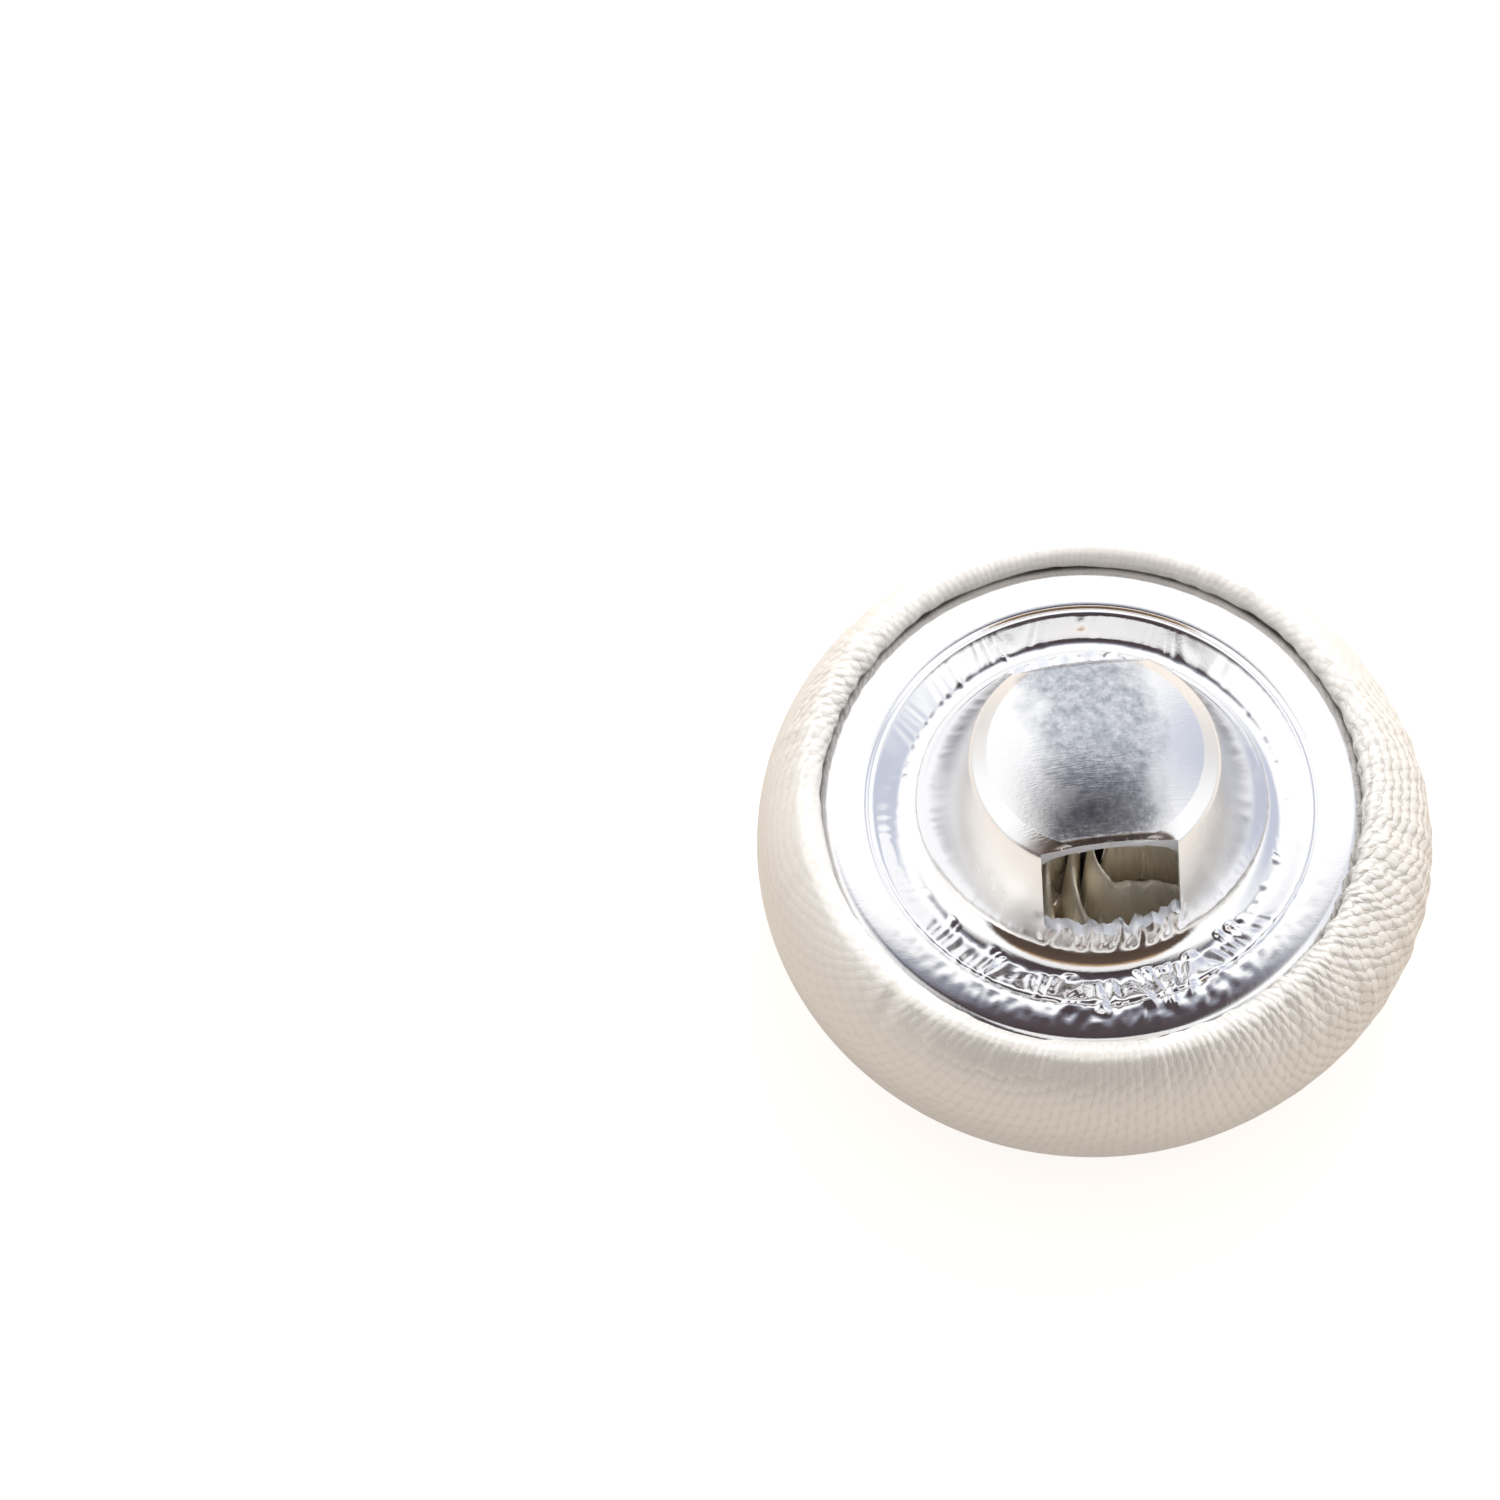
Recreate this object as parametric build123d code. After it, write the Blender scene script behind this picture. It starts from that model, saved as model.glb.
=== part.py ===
from build123d import *
from math import atan2, cos, degrees, radians, sin, sqrt, tan
import os

# A fabric covered button, lying on its domed face with its sewing shank up.
# Millimetres. The origin is where the dome's apex touches the surface, +Z is up,
# and the two thread windows of the shank look along +Y and -Y.

# Overall form, measured on the outside of the cloth
button_diameter = 15.0
dome_radius = 18.0          # front face
side_radius = 3.3           # bulge between the front face and the rim
rim_angle = 42.0            # how far round the bulge, above level, the cap is turned in

# Sheets
cloth = 0.20
cap_sheet = 0.24
plate_sheet = 0.25
slack = 0.02                # between one sheet and the next

# Tuck of the cloth inside the cap
tuck_start_angle = 24.0     # where the cloth leaves the cap's wall
tuck_bend_radius = 0.30
tuck_rise_radius = 1.5
tuck_rise_margin = 0.6      # the tuck starts to climb this far outside the trough
tuck_rise_angle = 25.0
hem_radius = 0.9
pleat_count = 10
pleat_outer_radius = 0.40
pleat_hem_radius = 0.14
pleat_end_gap = 0.08

# Back plate, each width measured on from the one before it, from the rim in
plate_level_below_crest = 0.45
skirt_end_angle = 30.0
shoulder_radius = 0.50
flat_ring_width = 0.79      # from the shoulder's centre to the crease
crease_width = 0.07
crease_depth = 0.06
band_width = 1.0            # from the crease to the trough round the shank
trough_depth = 0.45
trough_fillet = 0.45
band_fillet = 0.40
crimp_count = 48
crimp_outer_gap = 0.05      # from the crease to the crimps
crimp_inner_gap = 0.15      # from the crimps to the trough
crimp_outer_side = 0.15
crimp_inner_side = 0.08

# Hollow shank
shank_height = 2.95
flank_width = 1.22          # from the trough to the top of the shank's side
bevel_width = 0.37          # round the edge of the domed crown
bevel_drop = 0.31
crown_rise = 0.42           # of its dome, inside the bevel
crown_fillet = 0.30
bridge_inset = 0.13         # from the edge of the crown's dome in to the bridge's edge
bridge_edge_radius = 0.15
window_wall = 1.25          # from the top of the shank's side to the window
window_sill_height = 0.57   # above the plate

# Worked out from the values above
side_centre_radius = button_diameter / 2 - side_radius
side_level = dome_radius - sqrt((dome_radius - side_radius) ** 2 - side_centre_radius ** 2)
dome_centre = (0, dome_radius)
side_centre = (side_centre_radius, side_level)
join_angle = degrees(atan2(side_level - dome_radius, side_centre_radius))
rim_thickness = 2 * cloth + cap_sheet + 2 * slack


def at(centre, radius, angle):
    """The point at a radius and an angle in degrees from a centre."""
    return (centre[0] + radius * cos(radians(angle)), centre[1] + radius * sin(radians(angle)))


def arc(centre, radius, start, end):
    """An arc about a centre between two angles in degrees, either way round."""
    return CenterArc(centre, radius, start, end - start)


def turned(outline):
    """The solid that a closed outline, drawn as radius and height, makes round the axis."""
    return revolve(Plane.XZ * make_face(outline), Axis.Z, 360)


rim_centre = at(side_centre, side_radius - rim_thickness / 2, rim_angle)
rim_crest = rim_centre[1] + rim_thickness / 2
plate_level = rim_crest - plate_level_below_crest
inner_cloth_radius = side_radius - rim_thickness

# Rings of the back plate, from the rim in
skirt_radius = inner_cloth_radius - slack
shoulder_level = plate_level - shoulder_radius
shoulder_run = sqrt((skirt_radius - shoulder_radius) ** 2 - (shoulder_level - side_level) ** 2)
shoulder_centre = (side_centre_radius + shoulder_run, shoulder_level)
crease_radius = shoulder_centre[0] - flat_ring_width
trough_radius = crease_radius - band_width
shank_top_radius = trough_radius - flank_width
crown_edge_radius = shank_top_radius - bevel_width
bridge_half_width = crown_edge_radius - bridge_inset
window_half_width = shank_top_radius - window_wall
tuck_rise_start = trough_radius + tuck_rise_margin
crown_radius = (crown_edge_radius ** 2 + crown_rise ** 2) / (2 * crown_rise)
crown_centre = (0, plate_level + shank_height - crown_radius)


def radial_plane(inner, outer):
    """The plane across a line that runs from one (radius, height) point out to another."""
    return Plane(
        origin=(inner[0], 0, inner[1]),
        x_dir=(0, 1, 0),
        z_dir=(outer[0] - inner[0], 0, outer[1] - inner[1]),
    )


def radial_fold(inner, outer, inner_radius, outer_radius):
    """A tapered round fold from one (radius, height) point out to another, in the XZ plane."""
    length = sqrt((outer[0] - inner[0]) ** 2 + (outer[1] - inner[1]) ** 2)
    return radial_plane(inner, outer) * Cone(
        inner_radius,
        outer_radius,
        length,
        align=(Align.CENTER, Align.CENTER, Align.MIN),
    )


def round_the_axis(piece, count):
    """A count of one piece, evenly spaced round the axis."""
    return [Rot(0, 0, turn * 360 / count) * piece for turn in range(count)]


def tuck_path(depth):
    """The tuck's upper face, or at a depth of one cloth its lower face, from the rim in."""
    bend_centre = at(side_centre, inner_cloth_radius - tuck_bend_radius, tuck_start_angle)
    bend_low = (bend_centre[0], bend_centre[1] - tuck_bend_radius - depth)
    rise_centre = (tuck_rise_start, bend_centre[1] - tuck_bend_radius + tuck_rise_radius)
    rise_low = (tuck_rise_start, bend_low[1])
    climb_angle = -90 - tuck_rise_angle
    climb_start = at(rise_centre, tuck_rise_radius + depth, climb_angle)
    run = climb_start[0] - hem_radius - depth * sin(radians(tuck_rise_angle))
    climb_end = (climb_start[0] - run, climb_start[1] + run * tan(radians(tuck_rise_angle)))
    edges = [
        arc(side_centre, inner_cloth_radius + depth, rim_angle, tuck_start_angle),
        arc(bend_centre, tuck_bend_radius + depth, tuck_start_angle, -90),
        Line(bend_low, rise_low),
        arc(rise_centre, tuck_rise_radius + depth, -90, climb_angle),
        Line(climb_start, climb_end),
    ]
    return edges, climb_start, climb_end


def make_pleats():
    """Gathers of the cut edge: tapered radial folds that climb to the hem."""
    _, climb_start, climb_end = tuck_path(cloth / 2)
    pleat_start = (
        climb_start[0] - pleat_end_gap,
        climb_start[1] + pleat_end_gap * tan(radians(tuck_rise_angle)),
    )
    pleat = radial_fold(climb_end, pleat_start, pleat_hem_radius, pleat_outer_radius)
    return round_the_axis(pleat, pleat_count)


def make_fabric_cover():
    """One disc of satin over the cap, round its rim and gathered inside it."""
    upper_tuck, _, upper_hem = tuck_path(0)
    lower_tuck, _, lower_hem = tuck_path(cloth)
    outline = [
        arc(dome_centre, dome_radius, -90, join_angle),
        arc(side_centre, side_radius, join_angle, rim_angle),
        arc(rim_centre, rim_thickness / 2, rim_angle, rim_angle + 180),
        *upper_tuck,
        Line(upper_hem, lower_hem),
        *lower_tuck,
        arc(rim_centre, rim_thickness / 2 - cloth, rim_angle + 180, rim_angle),
        arc(side_centre, side_radius - cloth, rim_angle, join_angle),
        arc(dome_centre, dome_radius - cloth, join_angle, -90),
        Line((0, cloth), (0, 0)),
    ]
    return turned(outline) + make_pleats()


def make_front_shell():
    """The drawn aluminium cap inside the cloth, its rim turned in and its edge rounded."""
    outer_inset = cloth + slack
    inner_inset = outer_inset + cap_sheet
    outline = [
        arc(dome_centre, dome_radius - outer_inset, -90, join_angle),
        arc(side_centre, side_radius - outer_inset, join_angle, rim_angle),
        arc(rim_centre, cap_sheet / 2, rim_angle, rim_angle + 180),
        arc(side_centre, side_radius - inner_inset, rim_angle, join_angle),
        arc(dome_centre, dome_radius - inner_inset, join_angle, -90),
        Line((0, inner_inset), (0, outer_inset)),
    ]
    return turned(outline)


def crown_level(radius):
    """Height of the crown's upper face: its dome, and outside that the bevel round it."""
    domed = min(radius, crown_edge_radius)
    fall = (radius - domed) / bevel_width * bevel_drop
    return crown_centre[1] + sqrt(crown_radius ** 2 - domed ** 2) - fall


def plate_face_line():
    """The back plate's upper face, from the skirt's lower edge in to the axis."""
    shoulder_angle = degrees(atan2(shoulder_level - side_level, shoulder_run))
    crown_edge_level = crown_level(crown_edge_radius)
    crown_edge_angle = degrees(atan2(crown_edge_level - crown_centre[1], crown_edge_radius))
    pressed = FilletPolyline(
        (shoulder_centre[0], plate_level),
        (crease_radius, plate_level),
        (trough_radius, plate_level - trough_depth),
        (shank_top_radius, crown_level(shank_top_radius)),
        (crown_edge_radius, crown_edge_level),
        radius=[band_fillet, trough_fillet, crown_fillet],
    )
    return (
        arc(side_centre, skirt_radius, skirt_end_angle, shoulder_angle)
        + arc(shoulder_centre, shoulder_radius, shoulder_angle, 90)
        + pressed
        + arc(crown_centre, crown_radius, crown_edge_angle, 90)
    )


def make_crimps():
    """Radial crimps of the deep-drawn band between the crease and the shank's foot."""

    def on_band(radius):
        """The point of the band's straight slope at a radius."""
        return (radius, plate_level - (crease_radius - radius) / band_width * trough_depth)

    inner = on_band(trough_radius + crimp_inner_gap)
    outer = on_band(crease_radius - crimp_outer_gap)
    length = sqrt((outer[0] - inner[0]) ** 2 + (outer[1] - inner[1]) ** 2)
    widening = degrees(atan2((crimp_outer_side - crimp_inner_side) / 2, length))
    crimp = extrude(
        radial_plane(inner, outer) * Rectangle(crimp_inner_side, crimp_inner_side, rotation=45),
        length,
        taper=-widening,
    )
    return round_the_axis(crimp, crimp_count)


def make_windows():
    """The two thread windows: pierced through the shank's sides, each side of the bridge."""
    depth = trough_radius - bridge_half_width
    middle = (trough_radius + bridge_half_width) / 2
    level = plate_level + window_sill_height + shank_height / 2
    window = Box(2 * window_half_width, depth, shank_height)
    return [Pos(0, side * middle, level) * window for side in (-1, 1)]


def make_crease():
    """The ring that is cut from the plate's face where its flat part ends."""
    return turned(
        Polyline(
            (crease_radius - crease_width / 2, plate_level + crease_depth),
            (crease_radius + crease_width / 2, plate_level + crease_depth),
            (crease_radius, plate_level - crease_depth),
            close=True,
        )
    )


def make_back_plate():
    """One aluminium pressing: skirt, ring, crease, crimped band, shank and bridge."""
    sheet = make_face(offset(plate_face_line(), plate_sheet, side=Side.LEFT))
    plate = revolve(Plane.XZ * sheet, Axis.Z, 360) - make_windows()
    bridge_edges = plate.edges().filter_by(GeomType.CIRCLE).filter_by(
        lambda edge: abs(abs((edge @ 0.5).Y) - bridge_half_width) < slack / 2
    )
    plate = fillet(bridge_edges.group_by(Axis.Z)[-1], bridge_edge_radius)
    return plate - make_crease() + make_crimps()


def main():
    os.makedirs("parts", exist_ok=True)
    export_step(make_fabric_cover(), "parts/fabric_cover.step")
    export_step(make_front_shell(), "parts/front_shell.step")
    export_step(make_back_plate(), "parts/back_plate.step")


main()
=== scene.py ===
from math import atan2, ceil, cos, degrees, hypot, pi, radians, sin, sqrt, tan

import bpy
import numpy as np
from mathutils import Matrix, Vector


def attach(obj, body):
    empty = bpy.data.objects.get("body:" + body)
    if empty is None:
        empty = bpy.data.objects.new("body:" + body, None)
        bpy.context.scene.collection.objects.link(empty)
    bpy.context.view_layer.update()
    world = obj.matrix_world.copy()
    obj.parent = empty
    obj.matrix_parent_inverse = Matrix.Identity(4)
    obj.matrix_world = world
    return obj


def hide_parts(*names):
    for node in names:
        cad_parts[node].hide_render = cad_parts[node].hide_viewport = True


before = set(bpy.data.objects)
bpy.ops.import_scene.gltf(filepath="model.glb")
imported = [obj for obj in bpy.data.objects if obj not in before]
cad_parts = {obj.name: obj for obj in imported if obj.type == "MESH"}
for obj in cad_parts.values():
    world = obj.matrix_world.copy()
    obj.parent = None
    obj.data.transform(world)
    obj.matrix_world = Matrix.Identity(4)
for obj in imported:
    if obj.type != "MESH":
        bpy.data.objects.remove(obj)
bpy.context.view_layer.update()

# A fabric covered button with its sewing shank up. Lengths here are in millimetres, and
# a mesh takes them to metres when it is made.
MM = 0.001

# Form of the button, as in the CAD model
button_diameter = 15.0
dome_radius = 18.0
side_radius = 3.3
rim_angle = 42.0
cloth = 0.20
cap_sheet = 0.24
plate_sheet = 0.25
slack = 0.02
tuck_start_angle = 24.0
tuck_bend_radius = 0.30
tuck_rise_radius = 1.5
tuck_rise_margin = 0.6
tuck_rise_angle = 25.0
hem_radius = 0.9
plate_below_crest = 0.45
skirt_end_angle = 30.0
shoulder_radius = 0.50
flat_ring_width = 0.79
crease_width = 0.07
crease_depth = 0.06
band_width = 1.0
trough_depth = 0.45
trough_fillet = 0.45
band_fillet = 0.40
shank_height = 2.95
flank_width = 1.22
bevel_width = 0.37
bevel_drop = 0.31
crown_rise = 0.42
crown_fillet = 0.30
bridge_inset = 0.13
bridge_edge_radius = 0.15
window_wall = 1.25
window_sill_height = 0.57

# Worked out from the values above
side_centre_radius = button_diameter / 2 - side_radius
side_level = dome_radius - sqrt((dome_radius - side_radius) ** 2 - side_centre_radius ** 2)
dome_centre = (0, dome_radius)
side_centre = (side_centre_radius, side_level)
join_angle = degrees(atan2(side_level - dome_radius, side_centre_radius))
rim_thickness = 2 * cloth + cap_sheet + 2 * slack
inner_cloth_radius = side_radius - rim_thickness


def at(centre, radius, angle):
    """The point at a radius and an angle in degrees from a centre."""
    return (centre[0] + radius * cos(radians(angle)), centre[1] + radius * sin(radians(angle)))


rim_centre = at(side_centre, side_radius - rim_thickness / 2, rim_angle)
rim_crest = rim_centre[1] + rim_thickness / 2
plate_level = rim_crest - plate_below_crest
skirt_radius = inner_cloth_radius - slack
shoulder_level = plate_level - shoulder_radius
shoulder_run = sqrt((skirt_radius - shoulder_radius) ** 2 - (shoulder_level - side_level) ** 2)
shoulder_centre = (side_centre_radius + shoulder_run, shoulder_level)
crease_radius = shoulder_centre[0] - flat_ring_width
trough_radius = crease_radius - band_width
shank_top_radius = trough_radius - flank_width
crown_edge_radius = shank_top_radius - bevel_width
bridge_half_width = crown_edge_radius - bridge_inset
window_half_width = shank_top_radius - window_wall
tuck_rise_start = trough_radius + tuck_rise_margin
crown_top = plate_level + shank_height
crown_radius = (crown_edge_radius ** 2 + crown_rise ** 2) / (2 * crown_rise)
crown_centre = (0, crown_top - crown_radius)


# Outlines, sampled finely and then thinned to the rows of a mesh
fine_step = 0.004
least_step = 0.05 * fine_step       # points nearer to each other than this are one point


def arc(centre, radius, start, end):
    """Points along an arc between two angles in degrees, either way round."""
    count = max(2, ceil(abs(radians(end - start)) * radius / fine_step))
    angles = np.radians(np.linspace(start, end, count + 1))
    return np.array(centre) + radius * np.column_stack((np.cos(angles), np.sin(angles)))


def line(start, end):
    """Points along a straight stretch."""
    count = max(2, ceil(hypot(end[0] - start[0], end[1] - start[1]) / fine_step))
    return np.linspace(start, end, count + 1)


def rounded(corners, radii):
    """Points along a run of straight lines whose inner corners are rounded."""
    pieces = []
    start = np.array(corners[0], float)
    for before, corner, after, radius in zip(corners, corners[1:], corners[2:], radii):
        corner = np.array(corner, float)
        back = np.array(before, float) - corner
        ahead = np.array(after, float) - corner
        back /= np.linalg.norm(back)
        ahead /= np.linalg.norm(ahead)
        half = np.arccos(np.clip(back @ ahead, -1, 1)) / 2
        reach = radius / tan(half)
        middle = (back + ahead) / np.linalg.norm(back + ahead)
        centre = corner + middle * radius / sin(half)
        entry = corner + back * reach
        leave = corner + ahead * reach
        first = degrees(atan2(entry[1] - centre[1], entry[0] - centre[0]))
        turn = degrees(atan2(leave[1] - centre[1], leave[0] - centre[0])) - first
        turn = (turn + 180) % 360 - 180
        pieces += [line(start, entry), arc(centre, radius, first, first + turn)]
        start = leave
    return np.vstack(pieces + [line(start, corners[-1])])


def without_repeats(points):
    """The points with each one that sits on the one before it left out."""
    moved = np.hypot(*np.diff(points, axis=0).T) > least_step
    return points[np.concatenate(([True], moved))]


def rows_of(points, longest, sharpest, fine_zone=(0, 0), finest=1.0):
    """Length, place and normal of rows along an outline, closer together where it bends.

    Between the two radii of the fine zone the rows are at most finest apart.
    """
    points = without_repeats(points)
    steps = np.diff(points, axis=0)
    lengths = np.hypot(steps[:, 0], steps[:, 1])
    headings = np.unwrap(np.arctan2(steps[:, 1], steps[:, 0]))
    along = np.concatenate(([0], np.cumsum(lengths)))
    at_points = np.interp(along, (along[1:] + along[:-1]) / 2, headings)
    inside = (points[1:, 0] > fine_zone[0]) & (points[1:, 0] < fine_zone[1])
    apart = np.where(inside, finest, longest)
    bends = np.abs(np.diff(at_points)) / radians(sharpest)
    weight = np.concatenate(([0], np.cumsum(lengths / apart + bends)))
    wanted = np.linspace(0, weight[-1], ceil(weight[-1]) + 1)
    length = np.interp(wanted, weight, along)
    heading = np.interp(length, along, at_points)
    place = np.column_stack([np.interp(length, along, points[:, axis]) for axis in (0, 1)])
    normal = np.column_stack((np.sin(heading), -np.cos(heading)))
    return length, place, normal


# Meshes
def object_from(name, points, faces, smooth=True):
    """A new mesh object from points in millimetres."""
    mesh = bpy.data.meshes.new(name)
    mesh.from_pydata((np.asarray(points) * MM).tolist(), [], faces)
    mesh.polygons.foreach_set("use_smooth", [smooth] * len(mesh.polygons))
    mesh.update()
    piece = bpy.data.objects.new(name, mesh)
    bpy.context.scene.collection.objects.link(piece)
    return piece


def ring_faces(row_count, columns):
    """Faces between rows of a turned mesh, each row a full circle of points."""
    faces = []
    for row in range(row_count - 1):
        for column in range(columns):
            after = (column + 1) % columns
            faces.append((
                row * columns + column,
                row * columns + after,
                (row + 1) * columns + after,
                (row + 1) * columns + column,
            ))
    return faces


def turned_piece(name, rows, first_tip, last_tip):
    """A closed mesh from rows of points round the axis; each end is drawn in to its tip."""
    row_count, columns = rows.shape[:2]
    points = np.vstack((rows.reshape(-1, 3), [first_tip, last_tip]))
    first, last = len(points) - 2, len(points) - 1
    last_row = (row_count - 1) * columns
    faces = ring_faces(row_count, columns)
    for column in range(columns):
        after = (column + 1) % columns
        faces.append((first, after, column))
        faces.append((last, last_row + column, last_row + after))
    return object_from(name, points, faces)


def smooth_step(value, low, high):
    """0 below low, 1 above high and a smooth rise between."""
    share = np.clip((value - low) / (high - low), 0, 1)
    return share * share * (3 - 2 * share)


def hump(value, rise, full, fading, gone):
    """1 between full and fading, 0 before the rise and where it is gone, smooth between."""
    return smooth_step(value, rise, full) * (1 - smooth_step(value, fading, gone))


def past(start, offsets):
    """Places at these offsets past a start."""
    return [start + offset for offset in offsets]


def side_share(angle, side):
    """1 in the middle of a side, falling to 0 at its spread; a side is those two, in degrees."""
    middle, spread = side
    off = np.degrees(angle) - middle
    off = np.abs((off + 180) % 360 - 180)
    return 1 - smooth_step(off, 0, spread)


def waves(random, angle, counts, drift):
    """Uneven ripples round the axis: a sum of waves of these counts, about 1 high."""
    total = np.zeros_like(angle)
    for count in counts:
        phase = random.uniform(0, 2 * pi)
        lean = random.uniform(-1, 1)
        total += np.sin(count * angle + phase + lean * drift)
    return total / sqrt(len(counts))


# The satin cover
cover_columns = 350
cover_row_gap = 0.14        # at most, along the outline
cover_row_bend = 6.0        # at most, in degrees from one row to the next
inner_row_step = 4          # the inner face takes only each fourth row
cover_seed = 11

# Sides where the cloth lies loosely: middle and spread in degrees round the axis
right_side = (-20, 66)
near_side = (-80, 60)
upper_left_side = (148, 34)
bulging_side = (-10, 62)

# How loosely it lies there, from 0 to 1
right_looseness = 0.95
near_looseness = 0.30
upper_left_looseness = 0.55

# Stretches of the cloth in which something sets in, in mm past its crest on the rim. Where
# there are two more offsets, it fades and is gone between them
loose_stretch = (-4.6, -1.8)
loose_end = 0.4             # from here it fades as far as the bend inside
upper_left_stretch = (-1.4, -0.5)
gathered_stretch = (-3.2, -0.2)
bulging_stretch = (-6.5, -3.6, -1.6, -0.2)

# Stretches in mm past the start of the bend inside
tucked_stretch = (0.2, 1.4)
folded_stretch = (-0.1, 1.6)
uneven_stretch = (0, 1)

# Gathers and swells where the cloth goes over the rim: how many, their slant and height
gather_counts = (37, 49, 58, 71, 83)
gather_slant = 1.2
gather_height = 0.012
gather_off_bias = 0.35      # share of that height where the weave isn't on the bias
swell_counts = (5, 9, 14)
swell_slant = 0.4
swell_height = 0.022
loose_lift = 0.02           # how far loose cloth stands off the cap
loose_gather_height = 0.03
right_bulge = 0.20          # and how far it stands off at the right

# Deep folds of the cloth that is tucked inside
fold_count = 17
fold_share = 0.85           # of the flat cloth's fullness that the folds take up
fold_crowding = 0.28        # the folds crowd at the sides and are broad behind the windows
fold_unevenness = 0.10
uneven_counts = (7, 11, 19, 23)
uneven_slant = 2.4
swirl_reach = 0.30          # radians that the folds swing to and fro on their way in
swirl_rate = 0.9
swirl_start = 2.0
swirl_unevenness = 0.10
swirl_counts = (2, 3, 5)


def cover_outline():
    """The cover's outer face from the dome's apex, over the rim and in to the hem."""
    bend_centre = at(side_centre, inner_cloth_radius - tuck_bend_radius, tuck_start_angle)
    tuck_level = bend_centre[1] - tuck_bend_radius
    rise_centre = (tuck_rise_start, tuck_level + tuck_rise_radius)
    climb_start = at(rise_centre, tuck_rise_radius, -90 - tuck_rise_angle)
    run = climb_start[0] - hem_radius
    hem = (hem_radius, climb_start[1] + run * tan(radians(tuck_rise_angle)))
    return np.vstack([
        arc(dome_centre, dome_radius, -90, join_angle),
        arc(side_centre, side_radius, join_angle, rim_angle),
        arc(rim_centre, rim_thickness / 2, rim_angle, rim_angle + 180),
        arc(side_centre, inner_cloth_radius, rim_angle, tuck_start_angle),
        arc(bend_centre, tuck_bend_radius, tuck_start_angle, -90),
        line((bend_centre[0], tuck_level), (tuck_rise_start, tuck_level)),
        arc(rise_centre, tuck_rise_radius, -90, -90 - tuck_rise_angle),
        line(climb_start, hem),
    ])


def crest_and_bend():
    """Lengths along the cover from the apex to the rim's crest and into the bend inside."""
    outline = without_repeats(cover_outline())
    along = np.concatenate(([0], np.cumsum(np.hypot(*np.diff(outline, axis=0).T))))
    crest = along[np.argmax(outline[:, 1])]
    bend_top = inner_cloth_radius * sin(radians(tuck_start_angle)) + side_level
    inside = (along > crest) & (outline[:, 1] < bend_top)
    return crest, along[inside][0]


def looseness(along, angle):
    """How loosely the cloth lies: tight at the left, puckered at the right and near the rim."""
    crest, bend = crest_and_bend()
    near_rim = hump(along, *past(crest, loose_stretch), crest + loose_end, bend)
    right = side_share(angle, right_side)
    near = side_share(angle, near_side)
    upper_left = side_share(angle, upper_left_side)
    upper_left = upper_left * smooth_step(along, *past(crest, upper_left_stretch))
    loose = right_looseness * right + near_looseness * near + upper_left_looseness * upper_left
    return np.clip(near_rim * loose, 0, 1)


def bias_share(angle):
    """1 where the cloth runs on the bias of its weave, 0 where it runs along the threads."""
    return np.sin(2 * angle) ** 2


def how_it_lies(along, angle):
    """Looseness, bias of the weave and share tucked inside, at each point of the cloth."""
    _, bend = crest_and_bend()
    bias = bias_share(angle) + 0 * along
    tucked = smooth_step(along, *past(bend, tucked_stretch)) + 0 * angle
    return np.stack((looseness(along, angle), bias, tucked), axis=-1)


def rim_lift(random, along, turn):
    """How far the cloth stands off its smooth form, in gathers, swells and its loose bulge."""
    crest, _ = crest_and_bend()
    ripple = waves(random, turn, gather_counts, gather_slant * (along - crest))
    swell = waves(random, turn, swell_counts, swell_slant * (along - crest))
    gathered = gather_off_bias + (1 - gather_off_bias) * bias_share(turn)
    near_rim = smooth_step(along, *past(crest, gathered_stretch))
    lift = near_rim * (gather_height * gathered * ripple + swell_height * swell)
    lift += looseness(along, turn) * (loose_lift + loose_gather_height * ripple)
    bulging = hump(along, *past(crest, bulging_stretch))
    lift += right_bulge * bulging * side_share(turn, bulging_side)
    return lift


def fold_drop(random, along, turn, radius):
    """How far the tucked cloth drops in its deep folds, which take up its fullness."""
    _, bend = crest_and_bend()
    fullness = np.maximum(fold_share * along / radius, 1.0)
    depth = pi * radius / fold_count * np.sqrt(fullness ** 2 - 1)
    depth *= smooth_step(along, *past(bend, folded_stretch))
    sway = waves(random, turn, swirl_counts, along - bend)
    swirl = swirl_reach * np.sin(along * swirl_rate + swirl_start) + swirl_unevenness * sway
    wave = np.abs(np.sin(fold_count / 2 * (turn + fold_crowding * np.sin(2 * turn) + swirl)))
    uneven = waves(random, turn, uneven_counts, uneven_slant * along)
    inside = smooth_step(along, *past(bend, uneven_stretch))
    return depth * (1 - wave) + inside * fold_unevenness * uneven


def folded_cloth(length, place, normal, angle):
    """Points of the cover's outer face: rows by columns, with its gathers and its deep folds."""
    random = np.random.default_rng(cover_seed)
    along = length[:, None] + 0 * angle[None, :]
    turn = angle[None, :] + 0 * along
    radius = np.maximum(place[:, 0], 1e-6)[:, None]
    lift = rim_lift(random, along, turn)
    drop = fold_drop(random, along, turn, radius)
    across = place[:, 0][:, None] + normal[:, 0][:, None] * lift
    height = place[:, 1][:, None] + normal[:, 1][:, None] * lift - drop
    return np.stack((across * np.cos(turn), across * np.sin(turn), height), axis=-1)


def store_vectors(piece, name, vectors):
    """Keeps a vector for each point of a turned piece; its two tips have none."""
    values = np.zeros((len(piece.data.vertices), 3), np.float32)
    values[:-2] = vectors.reshape(-1, 3)
    attribute = piece.data.attributes.new(name, "FLOAT_VECTOR", "POINT")
    attribute.data.foreach_set("vector", values.ravel())


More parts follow.
